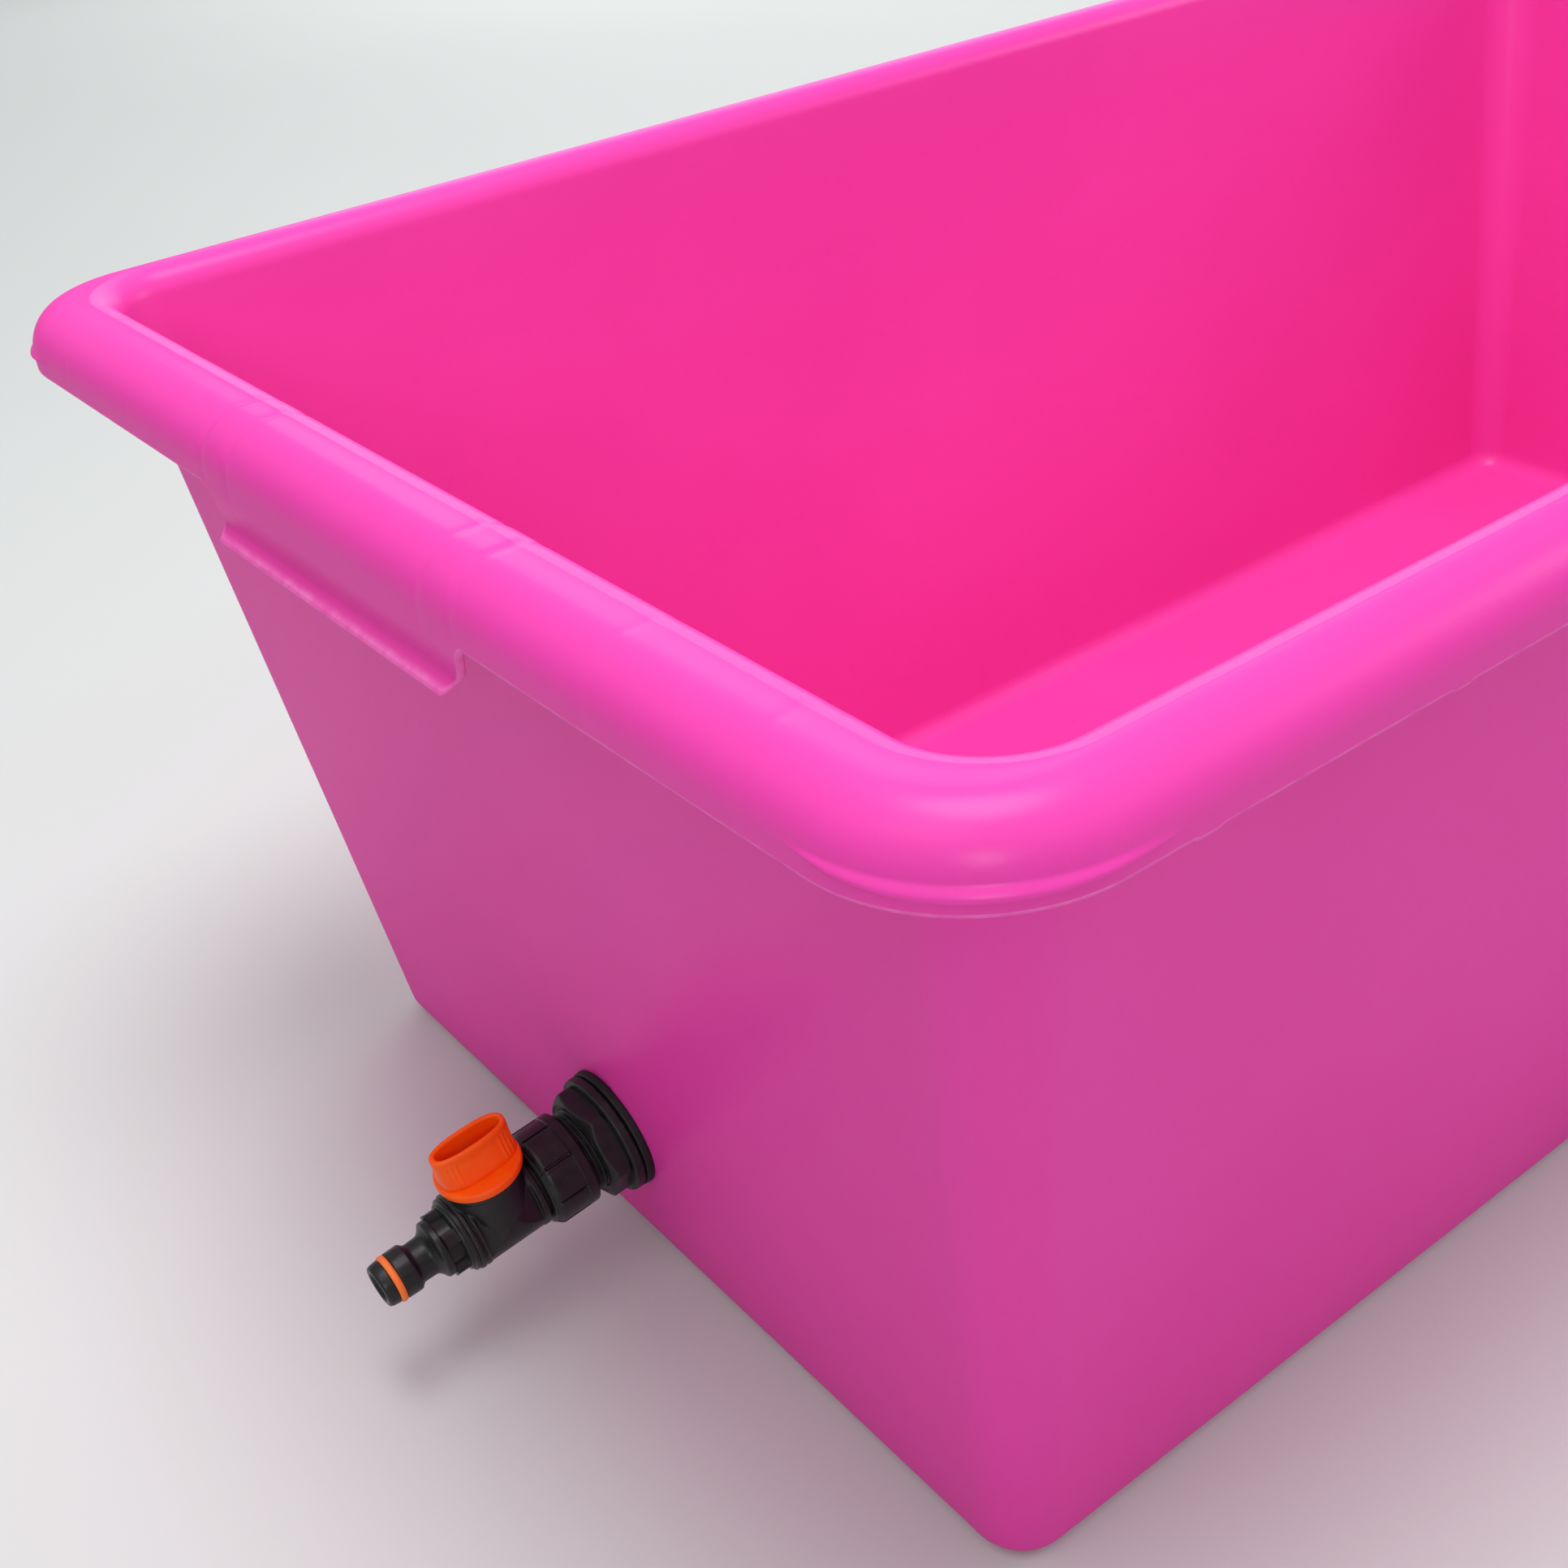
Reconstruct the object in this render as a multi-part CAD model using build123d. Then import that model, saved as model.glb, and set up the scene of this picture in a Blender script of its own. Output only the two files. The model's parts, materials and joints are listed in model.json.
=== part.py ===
from build123d import *
import os
from math import atan, cos, radians, sin, sqrt

# Pet bathtub: one rotomoulded tub with a rolled rim and two grip flaps, and a large-bore drain
# tap screwed through its short end wall. Millimetres, +Z up. The origin is the centre of the
# base, +X runs along the tub and the tap is on the -X end.

# ---- driving dimensions: tub ----
rim_length = 1200.0
rim_width = 700.0
tub_height = 430.0
rim_corner_radius = 60.0
rim_overhang_ends = 40.0
rim_overhang_sides = 33.0
skirt_depth = 28.0
base_inset = 88.0
wall_thickness = 5.0
floor_thickness = 6.0
rim_thickness = 4.5
shoulder_radius = 18.0
mouth_radius = 12.0
base_corner_radius = 24.0
mouth_corner_radius = 36.0
base_edge_radius = 14.0
cavity_floor_radius = 14.0

# ---- driving dimensions: grip flaps under the short rims ----
grip_half_width = 92.0
grip_drop = 21.5
grip_root_radius = 16.0
grip_corner_radius = 4.5
grip_flare = 2.5

# ---- driving dimensions: drain fitting, measured outward from the wall's outer face ----
drain_height = 78.0
thread_radius = 20.95
thread_end = 41.5
drain_bore_radius = 15.0
wall_hole_radius = 21.5
flange_radius = 30.5
flange_thickness = 5.0
inner_gasket_thickness = 2.5
outer_gasket_radius = 30.8
outer_gasket_thickness = 4.0
nut_flange_thickness = 5.0
nut_end = 20.0
nut_across_flats = 49.0
fixed_clearance = 0.05

# ---- driving dimensions: union nut and inlet tail ----
union_start = 26.0
union_end = 49.0
union_radius = 22.4
union_rib_height = 1.3
union_rib_width = 4.0
union_rib_count = 8
union_bore_radius = 21.03
union_shoulder_start = 46.6
union_shoulder_radius = 17.3
washer_thickness = 2.0
collar_radius = 20.4
collar_end = 46.3
tail_neck_radius = 16.9

# ---- driving dimensions: ball valve ----
body_start = 50.2
body_end = 88.5
barrel_radius = 19.0
cartridge_radius = 13.95
ball_position = 69.0
ball_radius = 12.0
ball_bore_radius = 7.5
seat_gap = 0.3
seat_bore_radius = 8.0
seat_reach = 12.5
seat_thickness = 4.2
boss_radius = 18.8
boss_top = 26.0
stem_radius = 6.0
stem_clearance = 0.06
stem_flange_radius = 8.0
stem_flange_bottom = 12.4
stem_flange_top = 14.0
stem_top = 30.9
stem_square = 8.0
tang_width = 4.8
tang_bottom = 9.0
stop_inner_radius = 14.0
stop_outer_radius = 17.8
stop_depth = 2.4
turn_range = 90.0

# ---- driving dimensions: knob and its screw ----
knob_gap = 0.5
knob_base_radius = 20.2
knob_base_thickness = 4.0
knob_top = 47.0
grip_length = 38.5
grip_width = 16.0
grip_wall = 2.8
grip_rib_count = 4
screw_shank_radius = 1.95
screw_head_radius = 3.8
screw_head_height = 2.3

# ---- driving dimensions: hose nipple ----
nipple_flange_end = 92.0
nipple_core_radius = 11.6
lug_end = 98.8
lug_radius = 15.6
lug_width = 7.0
lug_count = 4
clip_ring_end = 103.0
clip_ring_radius = 14.2
neck_start = 105.0
neck_end = 113.0
neck_radius = 9.6
nose_start = 115.0
nose_radius = 11.6
groove_start = 122.2
groove_end = 125.8
groove_radius = 9.0
tip_radius = 10.2
nipple_end = 130.0
nipple_bore_radius = 6.5
nose_ring_section = 1.4
nipple_flange_radius = 18.6
body_seal_position = 86.0
tail_seal_position = 53.5
seal_groove_width = 2.0
seal_groove_depth = 1.9
seal_section = 0.9

# ---- worked-out values ----
skirt_bottom = tub_height - skirt_depth
end_slope = (base_inset - rim_overhang_ends) / skirt_bottom
side_slope = (base_inset - rim_overhang_sides) / skirt_bottom
end_draft = atan(end_slope)
end_wall_run = wall_thickness / cos(end_draft)
side_wall_run = wall_thickness / cos(atan(side_slope))
base_length = rim_length - 2 * base_inset
base_width = rim_width - 2 * base_inset
corner_growth = (mouth_corner_radius - base_corner_radius) / tub_height
flange_start = -wall_thickness - inner_gasket_thickness
knob_bottom = boss_top + knob_gap
knob_floor = knob_bottom + knob_base_thickness + 2.5

# The fitting's own frame: local X points out of the wall, local Z points up along it.
wall_x = -(base_length / 2 + end_slope * drain_height)
outward = Vector(-cos(end_draft), 0, -sin(end_draft))
upward = Vector(-sin(end_draft), 0, cos(end_draft))
drain_frame = Plane(origin=(wall_x, 0, drain_height), x_dir=outward, z_dir=upward)


def save(name, shape):
    shape.label = name
    export_step(shape, f"parts/{name}.step")


def save_on_drain(name, shape):
    save(name, drain_frame.location * shape)


def corner_radius_at(height):
    """Radius of the outer wall's upright corners, which open out towards the rim."""
    return base_corner_radius + corner_growth * height


def flared_block(length, width, bottom, top, shrink, floor_edge):
    """A block that widens upwards with the walls' drafts; its corners are shrink tighter than the wall's."""
    rise = top - bottom
    wide_length = length + 2 * end_slope * rise
    wide_width = width + 2 * side_slope * rise
    lower = Plane.XY.offset(bottom) * RectangleRounded(length, width, corner_radius_at(bottom) - shrink)
    upper = Plane.XY.offset(top) * RectangleRounded(wide_length, wide_width, corner_radius_at(top) - shrink)
    block = loft([lower, upper], ruled=True)
    return fillet(block.edges().group_by(Axis.Z)[0], floor_edge)


def rounded_plate(length, width, corner, bottom, top):
    return extrude(Plane.XY.offset(bottom) * RectangleRounded(length, width, corner), amount=top - bottom)


def turned(points):
    """A solid turned about the local X axis from (distance, radius) points."""
    return revolve(make_face(Polyline(*points, close=True)), Axis.X, 360)


def ring(start, end, inner, outer):
    return turned([(start, inner), (end, inner), (end, outer), (start, outer)])


def o_ring(position, outer_radius, section):
    return Pos(position, 0, 0) * Rot(0, 90, 0) * Torus(outer_radius - section, section)


def seal_groove(position):
    """Groove for an o-ring round a spigot that fits the valve body's bore."""
    half = seal_groove_width / 2
    return ring(position - half, position + half, cartridge_radius - seal_groove_depth, cartridge_radius + 1)


def upright_cylinder(radius, bottom, top):
    """A cylinder about the valve stem's axis."""
    return Pos(ball_position, 0, (bottom + top) / 2) * Cylinder(radius, top - bottom)


def upright_prism(sketch, bottom, top):
    """A sketch centred on the valve stem's axis, extruded along it."""
    return extrude(Pos(ball_position, 0, bottom) * sketch, amount=top - bottom)


def grip_flap():
    """The flap that hangs from the skirt at the +X end, with its edge flared outwards."""
    inner_x = rim_length / 2 - rim_thickness
    outer_x = rim_length / 2
    bottom = skirt_bottom - grip_drop
    section = make_face(
        Polyline(
            (inner_x, skirt_bottom + 2),
            (outer_x, skirt_bottom + 2),
            (outer_x, bottom + 9),
            (outer_x + grip_flare, bottom + 3),
            (outer_x + grip_flare, bottom),
            (outer_x + grip_flare - 3, bottom),
            (inner_x, bottom + 7),
            close=True,
        )
    )
    bar = extrude(Plane.XZ * section, amount=grip_half_width + grip_root_radius + 4, both=True)
    root_width = 2 * (grip_half_width + grip_root_radius)
    outline = Pos(0, skirt_bottom - grip_drop / 2) * Rectangle(2 * grip_half_width, grip_drop)
    outline += Pos(0, skirt_bottom + 1) * Rectangle(root_width + 6, 2)
    roots = outline.vertices().filter_by(lambda v: abs(v.Y - skirt_bottom) < 0.01)
    roots = roots.filter_by(lambda v: abs(abs(v.X) - grip_half_width) < 0.01)
    outline = fillet(roots, grip_root_radius)
    outline = fillet(outline.vertices().group_by(Axis.Y)[0], grip_corner_radius)
    mask = extrude(Plane.YZ.offset(inner_x - 1) * outline, amount=rim_thickness + grip_flare + 2)
    return bar & mask


def tub_shell():
    body = flared_block(base_length, base_width, 0, tub_height - 2, 0, base_edge_radius)
    cap = rounded_plate(rim_length, rim_width, rim_corner_radius, skirt_bottom, tub_height)
    cap = fillet(cap.edges().group_by(Axis.Z)[-1], shoulder_radius)
    channel = rounded_plate(
        rim_length - 2 * rim_thickness,
        rim_width - 2 * rim_thickness,
        rim_corner_radius - rim_thickness,
        skirt_bottom - 1,
        tub_height - rim_thickness,
    )
    channel = fillet(channel.edges().group_by(Axis.Z)[-1], shoulder_radius - rim_thickness)
    shell = (cap - channel) + body
    under_rim = shell.edges().filter_by(
        lambda edge: abs(edge.center().Z - (tub_height - rim_thickness)) < 0.01
        and abs(edge.center().X) < rim_length / 2 - 25
        and abs(edge.center().Y) < rim_width / 2 - 25
        and edge.bounding_box().size.Z < 0.01
    )
    shell = fillet(under_rim, mouth_radius - rim_thickness)
    cavity = flared_block(
        base_length + 2 * end_slope * floor_thickness - 2 * end_wall_run,
        base_width + 2 * side_slope * floor_thickness - 2 * side_wall_run,
        floor_thickness,
        tub_height + 5,
        wall_thickness,
        cavity_floor_radius,
    )
    shell -= cavity
    mouth = shell.edges().filter_by(
        lambda edge: abs(edge.center().Z - tub_height) < 0.01
        and abs(edge.center().X) < rim_length / 2 - 25
        and abs(edge.center().Y) < rim_width / 2 - 25
        and edge.bounding_box().size.Z < 0.01
    )
    shell = fillet(mouth, mouth_radius)
    flap = grip_flap()
    shell += flap
    shell += mirror(flap, Plane.YZ)
    hole = Pos(-wall_thickness / 2, 0, 0) * Rot(0, 90, 0) * Cylinder(wall_hole_radius, 4 * wall_thickness)
    return shell - drain_frame.location * hole


def bulkhead_body():
    """Flanged tube that goes through the wall from inside the tub."""
    start = flange_start - flange_thickness
    return turned(
        [
            (start, drain_bore_radius + 1.5),
            (start, flange_radius - 2),
            (start + 2, flange_radius),
            (flange_start, flange_radius),
            (flange_start, thread_radius),
            (thread_end - 1, thread_radius),
            (thread_end, thread_radius - 1),
            (thread_end, drain_bore_radius),
            (start + 1.5, drain_bore_radius),
        ]
    )


def outer_gasket():
    end = outer_gasket_thickness
    inner = thread_radius + fixed_clearance
    return turned(
        [(0, inner), (end, inner), (end, outer_gasket_radius - 1), (end - 1, outer_gasket_radius), (0, outer_gasket_radius)]
    )


def bulkhead_nut():
    flange_end = outer_gasket_thickness + nut_flange_thickness
    hexagon = RegularPolygon(nut_across_flats / 2 / cos(radians(30)), 6, rotation=0)
    hexagon = extrude(Plane.YZ.offset(flange_end - 1) * (Rot(0, 0, 90) * hexagon), amount=nut_end - flange_end + 1)
    corner = nut_across_flats / 2 / cos(radians(30))
    chamfer_limit = turned(
        [(0, 0), (0, corner + 5), (nut_end - 2.5, corner + 1), (nut_end, corner - 2.2), (nut_end, 0)]
    )
    nut = hexagon & chamfer_limit
    nut += turned(
        [
            (outer_gasket_thickness, 0),
            (outer_gasket_thickness, 29.0),
            (outer_gasket_thickness + 1, 29.8),
            (flange_end - 0.8, 29.8),
            (flange_end, 29.0),
            (flange_end, 0),
        ]
    )
    bore = ring(outer_gasket_thickness - 1, nut_end + 1, 0, thread_radius + fixed_clearance)
    return nut - bore


def union_nut():
    nut = turned(
        [
            (union_start, union_bore_radius),
            (union_start, union_radius),
            (union_end - 3, union_radius),
            (union_end, union_radius - 2.5),
            (union_end, union_shoulder_radius),
            (union_shoulder_start, union_shoulder_radius),
            (union_shoulder_start, union_bore_radius),
        ]
    )
    rib_length = union_end - union_start - 7
    rib = Pos(union_start + 2 + rib_length / 2, 0, union_radius) * Box(
        rib_length, union_rib_width, 2 * union_rib_height
    )
    for index in range(union_rib_count):
        nut += Rot((index + 0.5) * 360 / union_rib_count, 0, 0) * rib
    return nut


def inlet_tail():
    """Collared end piece: the union nut pulls on its collar, and its shank holds the inlet seat."""
    start = thread_end + washer_thickness
    shank_end = ball_position - seat_reach
    tail = turned(
        [
            (start, drain_bore_radius),
            (start, collar_radius),
            (collar_end, collar_radius),
            (collar_end, tail_neck_radius),
            (body_start, tail_neck_radius),
            (body_start, cartridge_radius - fixed_clearance),
            (shank_end, cartridge_radius - fixed_clearance),
            (shank_end, seat_bore_radius),
            (body_start + 2, seat_bore_radius),
        ]
    )
    return tail - seal_groove(tail_seal_position)


def seat(side):
    """Ring seat on one side of the ball: side is -1 for the inlet and 1 for the outlet."""
    far = ball_position + side * seat_reach
    near = far - side * seat_thickness
    body = ring(min(near, far), max(near, far), seat_bore_radius, cartridge_radius - fixed_clearance)
    return body - Pos(ball_position, 0, 0) * Rot(0, 90, 0) * Sphere(ball_radius + seat_gap)


def stop_sector(inner, outer, bottom, top, first_angle, last_angle):
    """A sector about the stem's axis, between two angles in degrees."""
    span = radians(last_angle - first_angle)
    start = radians(first_angle)
    reach = outer + 30
    points = [(0, 0)]
    for step in range(5):
        angle = start + span * step / 4
        points.append((reach * cos(angle), reach * sin(angle)))
    wedge = upright_prism(make_face(Polyline(*points, close=True)), bottom, top)
    tube = upright_cylinder(outer, bottom, top) - upright_cylinder(inner, bottom - 1, top + 1)
    return wedge & tube


def valve_body():
    barrel = turned(
        [
            (body_start, 0),
            (body_start, barrel_radius - 1.5),
            (body_start + 1.5, barrel_radius),
            (body_end - 5, barrel_radius),
            (body_end - 5, barrel_radius - 1),
            (body_end - 3.5, barrel_radius - 1),
            (body_end - 3.5, barrel_radius),
            (body_end, barrel_radius),
            (body_end, 0),
        ]
    )
    boss = upright_cylinder(boss_radius, 0, boss_top)
    web_outline = Polyline((body_start + 1, 14), (57, 22), (82, 22), (body_end - 5, 14), close=True)
    web = extrude(Plane.XZ * make_face(web_outline), amount=9, both=True)
    body = barrel + boss + web
    body -= ring(body_start - 1, body_end + 1, 0, cartridge_radius)
    body -= upright_cylinder(stem_flange_radius + 0.3, 0, stem_flange_top + 0.3)
    body -= upright_cylinder(stem_radius + stem_clearance, 0, boss_top + 1)
    notch = stop_sector(
        stop_inner_radius - 0.5, boss_radius + 2, boss_top - stop_depth, boss_top + 1, -102, 12
    )
    return body - notch


def valve_ball():
    ball = Pos(ball_position, 0, 0) * Rot(0, 90, 0) * Sphere(ball_radius)
    ball -= ring(ball_position - 20, ball_position + 20, 0, ball_bore_radius)
    slot = upright_prism(Rectangle(2 * ball_radius, tang_width + 0.2), tang_bottom - 0.1, ball_radius + 1)
    return ball - slot


def valve_stem():
    stem = upright_cylinder(stem_radius, stem_flange_top - 0.5, boss_top + 0.2)
    stem += upright_cylinder(stem_flange_radius, stem_flange_bottom, stem_flange_top)
    stem += upright_prism(Rectangle(2 * stem_radius, tang_width), tang_bottom, stem_flange_bottom + 0.5)
    stem += upright_prism(Rectangle(stem_square, stem_square), boss_top, stem_top)
    for height in stem_ring_heights():
        groove = upright_cylinder(stem_radius + 1, height - 0.9, height + 0.9)
        stem -= groove - upright_cylinder(stem_radius - 1.65, height - 2, height + 2)
    return stem - upright_cylinder(screw_shank_radius + fixed_clearance, 20, stem_top + 1)


def stem_ring_heights():
    return [17.2, 21.2]


def stem_o_ring(height):
    return Pos(ball_position, 0, height) * Torus(stem_radius - 0.8, 0.8)


def valve_knob():
    base_top = knob_bottom + knob_base_thickness
    knob = upright_cylinder(knob_base_radius, knob_bottom, base_top)
    knob = fillet(knob.edges().group_by(Axis.Z)[-1], 1.0)
    knob += upright_prism(SlotOverall(grip_length, grip_width), base_top - 0.5, knob_top)
    hollow = SlotOverall(grip_length - 2 * grip_wall, grip_width - 2 * grip_wall)
    knob -= upright_prism(hollow, knob_floor, knob_top + 1)
    rib_x = grip_length / 2 - grip_width / 2
    for end in (-1, 1):
        for side in (-1, 1):
            for index in range(grip_rib_count):
                offset = end * (rib_x - 1 + 2.2 * index - 2)
                depth = grip_width / 2
                if abs(offset) > rib_x:
                    depth = sqrt((grip_width / 2) ** 2 - (abs(offset) - rib_x) ** 2)
                rib = Pos(offset, side * depth) * Circle(0.6)
                knob += upright_prism(rib, base_top - 0.5, knob_top - 3)
    tab = stop_sector(stop_inner_radius, stop_outer_radius, boss_top - stop_depth + 0.3, knob_bottom + 1, -10, 10)
    knob += tab
    socket = Rectangle(stem_square + 0.1, stem_square + 0.1)
    knob -= upright_prism(socket, knob_bottom - 3, stem_top + 0.1)
    return knob - upright_cylinder(screw_shank_radius + 0.25, knob_bottom, knob_floor + 1)


def knob_screw():
    head = upright_cylinder(screw_head_radius, knob_floor, knob_floor + screw_head_height)
    head = fillet(head.edges().group_by(Axis.Z)[-1], 1.0)
    screw = head + upright_cylinder(screw_shank_radius, 21, knob_floor + 0.5)
    for angle in (0, 90):
        slot = Rot(0, 0, angle) * Rectangle(4.4, 0.9)
        screw -= upright_prism(slot, knob_floor + 1, knob_floor + 4)
    return screw


def hose_nipple():
    """Outlet: a spigot in the valve body, a flange, four lugs, a clip ring, a neck and a nose ring."""
    spigot_start = ball_position + seat_reach
    bore = nipple_bore_radius
    nipple = turned(
        [
            (spigot_start, seat_bore_radius),
            (spigot_start, cartridge_radius - fixed_clearance),
            (body_end, cartridge_radius - fixed_clearance),
            (body_end, nipple_flange_radius),
            (nipple_flange_end, nipple_flange_radius),
            (nipple_flange_end, nipple_core_radius),
            (lug_end, nipple_core_radius),
            (lug_end, clip_ring_radius),
            (clip_ring_end - 1, clip_ring_radius),
            (neck_start, neck_radius),
            (neck_end, neck_radius),
            (nose_start, nose_radius),
            (groove_start, nose_radius),
            (groove_start, groove_radius),
            (groove_end, groove_radius),
            (groove_end, tip_radius),
            (nipple_end - 2.4, tip_radius),
            (nipple_end - 0.7, tip_radius - 0.9),
            (nipple_end, bore + 1.2),
            (nipple_end - 0.6, bore),
            (neck_start, bore),
            (nipple_flange_end, seat_bore_radius),
        ]
    )
    lug_length = lug_end - nipple_flange_end + 1
    lug_depth = lug_radius - nipple_core_radius + 1
    lug = Pos(nipple_flange_end - 0.5 + lug_length / 2, 0, lug_radius - lug_depth / 2) * Box(
        lug_length, lug_width, lug_depth
    )
    for index in range(lug_count):
        nipple += Rot((index + 0.5) * 360 / lug_count, 0, 0) * lug
    return nipple - seal_groove(body_seal_position)


save("tub_shell", tub_shell())
save_on_drain("bulkhead_body", bulkhead_body())
save_on_drain(
    "inner_gasket", ring(flange_start, -wall_thickness, thread_radius + fixed_clearance, flange_radius - 1)
)
save_on_drain("outer_gasket", outer_gasket())
save_on_drain("bulkhead_nut", bulkhead_nut())
save_on_drain("union_nut", union_nut())
save_on_drain("union_washer", ring(thread_end, thread_end + washer_thickness, drain_bore_radius, collar_radius))
save_on_drain("inlet_tail", inlet_tail())
save_on_drain("tail_o_ring", o_ring(tail_seal_position, cartridge_radius - 0.03, seal_section))
save_on_drain("inlet_seat", seat(-1))
save_on_drain("valve_body", valve_body())
save_on_drain("outlet_seat", seat(1))
save_on_drain("valve_ball", valve_ball())
save_on_drain("valve_stem", valve_stem())
save_on_drain("lower_stem_o_ring", stem_o_ring(stem_ring_heights()[0]))
save_on_drain("upper_stem_o_ring", stem_o_ring(stem_ring_heights()[1]))
save_on_drain("valve_knob", valve_knob())
save_on_drain("knob_screw", knob_screw())
save_on_drain("hose_nipple", hose_nipple())
save_on_drain("nipple_seal", o_ring(body_seal_position, cartridge_radius - 0.03, seal_section))
nose_groove_middle = (groove_start + groove_end) / 2
save_on_drain("nose_o_ring", o_ring(nose_groove_middle, groove_radius + 2 * nose_ring_section, nose_ring_section))
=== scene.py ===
import json
from math import atan, ceil, cos, hypot, pi, radians, sin

import bmesh
import bpy
import numpy as np
from mathutils import Matrix, Vector


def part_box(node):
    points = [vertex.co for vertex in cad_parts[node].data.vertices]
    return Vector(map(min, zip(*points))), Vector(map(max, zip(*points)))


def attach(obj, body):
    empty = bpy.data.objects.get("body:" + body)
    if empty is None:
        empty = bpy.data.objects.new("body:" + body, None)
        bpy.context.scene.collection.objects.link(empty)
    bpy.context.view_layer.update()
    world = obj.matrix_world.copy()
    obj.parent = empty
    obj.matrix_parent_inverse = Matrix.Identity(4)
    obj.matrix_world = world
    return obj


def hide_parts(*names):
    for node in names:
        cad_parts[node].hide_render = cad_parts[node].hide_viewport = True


# Looks for the pet bathtub: one moulded tub and its drain tap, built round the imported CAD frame.
# Shapes are worked out in millimetres and turned into metres when a mesh is made.

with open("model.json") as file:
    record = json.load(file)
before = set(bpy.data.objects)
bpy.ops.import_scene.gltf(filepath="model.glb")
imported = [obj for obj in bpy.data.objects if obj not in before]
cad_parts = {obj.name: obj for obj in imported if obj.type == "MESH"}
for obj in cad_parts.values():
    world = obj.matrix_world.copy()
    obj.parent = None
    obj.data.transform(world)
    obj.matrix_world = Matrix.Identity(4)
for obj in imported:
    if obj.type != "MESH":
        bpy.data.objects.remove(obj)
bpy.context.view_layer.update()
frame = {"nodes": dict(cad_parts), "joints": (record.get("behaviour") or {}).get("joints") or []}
MM = 0.001

# ---- tub, taken from the frame ----
_, tub_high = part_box("tub_shell")
CAD_GRIP_FLARE = 2.5
RIM_HALF_LENGTH = tub_high.x / MM - CAD_GRIP_FLARE
RIM_HALF_WIDTH = tub_high.y / MM
TUB_HEIGHT = tub_high.z / MM

# ---- tub, millimetres ----
SKIRT_BOTTOM = TUB_HEIGHT - 28
END_OVERHANG = 40
SIDE_OVERHANG = 33
OVERHANGS = (END_OVERHANG, SIDE_OVERHANG)
BASE_INSET = 88
WALL = 5
FLOOR = 6
RIM_THICKNESS = 4.5
LIP_THICKNESS = 3.4
RIM_CORNER_RADIUS = 60
BASE_CORNER_RADIUS = 24
MOUTH_CORNER_RADIUS = 36
BASE_EDGE_RADIUS = 14
SHOULDER_RADIUS = 21
MOUTH_RADIUS = 14
UNDER_RIM_RADIUS = 9.5
FLOOR_RADIUS = 14
SHOULDER_Z = TUB_HEIGHT - SHOULDER_RADIUS
GRIP_HALF_WIDTH = 91
GRIP_ROOT = 108
GRIP_DROP = 20.4
GRIP_DRAW_IN = 2.0
GRIP_TURN = 14.8
GRIP_FLARE = 4.8
CREASES = ((78, 0.52, 2.8), (102, 0.52, 2.8), (182, 0.24, 3.0), (257, 0.26, 3.0))
# The parting line at the mouth: inset past the roll's start, height above the rim, share of wear.
PARTING_LINE = ((-0.15, 0, 0), (0.25, 0.06, 0.05), (0.7, 0.06, 0.08), (1.05, 0.0, 0.0))
BEAD_FOOT = 407.6
BEAD_HEIGHT = 1.9
BEAD_WIDTH = 5.6
WALL_HOLE_RADIUS = 21.5

# ---- tap, millimetres from the wall's outer face along the drain ----
BALL = 69
NUT_END = 20
THREAD_PITCH = 2.309
UNION_START = 26
UNION_END = 49
BODY_START = 50.2
BODY_END = 88.5
BOSS_TOP = 26
CASING_VOXEL = 0.00034
KNOB_TOP = 47
KNOB_SIDES = 360
KNOB_EDGE = 1.3
# Stand-ins for the knob section's radius where it follows the grip's outside or its hollow.
GRIP_MARK = 100.0
HOLLOW_MARK = 101.0


# ------------------------------------------------------------------ mesh helpers

def make_mesh(name, points, faces, sharp=40):
    """A mesh object from points in metres, smooth shaded, with edges sharper than an angle kept crisp."""
    mesh = bpy.data.meshes.new(name)
    mesh.from_pydata([tuple(p) for p in points], [], faces)
    obj = bpy.data.objects.new(name, mesh)
    bpy.context.scene.collection.objects.link(obj)
    tidy_mesh(obj, sharp)
    return obj


def tidy_mesh(obj, sharp=40):
    work = bmesh.new()
    work.from_mesh(obj.data)
    bmesh.ops.remove_doubles(work, verts=work.verts, dist=1e-6)
    bmesh.ops.dissolve_degenerate(work, edges=work.edges, dist=1e-7)
    bmesh.ops.recalc_face_normals(work, faces=work.faces)
    for face in work.faces:
        face.smooth = True
    for edge in work.edges:
        edge.smooth = not (edge.is_manifold and edge.calc_face_angle(0) > radians(sharp))
    work.to_mesh(obj.data)
    work.free()


def bake_modifiers(obj):
    """Replaces an object's mesh with what its modifiers make of it."""
    graph = bpy.context.evaluated_depsgraph_get()
    graph.update()
    mesh = bpy.data.meshes.new_from_object(obj.evaluated_get(graph))
    obj.modifiers.clear()
    obj.data = mesh


def combine(obj, other, operation):
    """Adds or cuts one mesh with another, which is then thrown away."""
    modifier = obj.modifiers.new("combine", "BOOLEAN")
    modifier.operation = operation
    modifier.solver = "EXACT"
    modifier.object = other
    bake_modifiers(obj)
    bpy.data.objects.remove(other)


def soft_mask(obj, name, values):
    """Stores one number from 0 to 1 for each point, for the material to read."""
    attribute = obj.data.attributes.new(name, "FLOAT", "POINT")
    attribute.data.foreach_set("value", np.asarray(values, np.float32))


def smoothstep(values):
    t = np.clip(values, 0, 1)
    return t * t * (3 - 2 * t)


def grid_faces(rows, count, wrap_rows):
    faces = []
    for row in range(rows if wrap_rows else rows - 1):
        above = (row + 1) % rows
        for k in range(count):
            n = (k + 1) % count
            faces.append((row * count + k, row * count + n, above * count + n, above * count + k))
    return faces


# ------------------------------------------------------------------ tub

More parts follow.
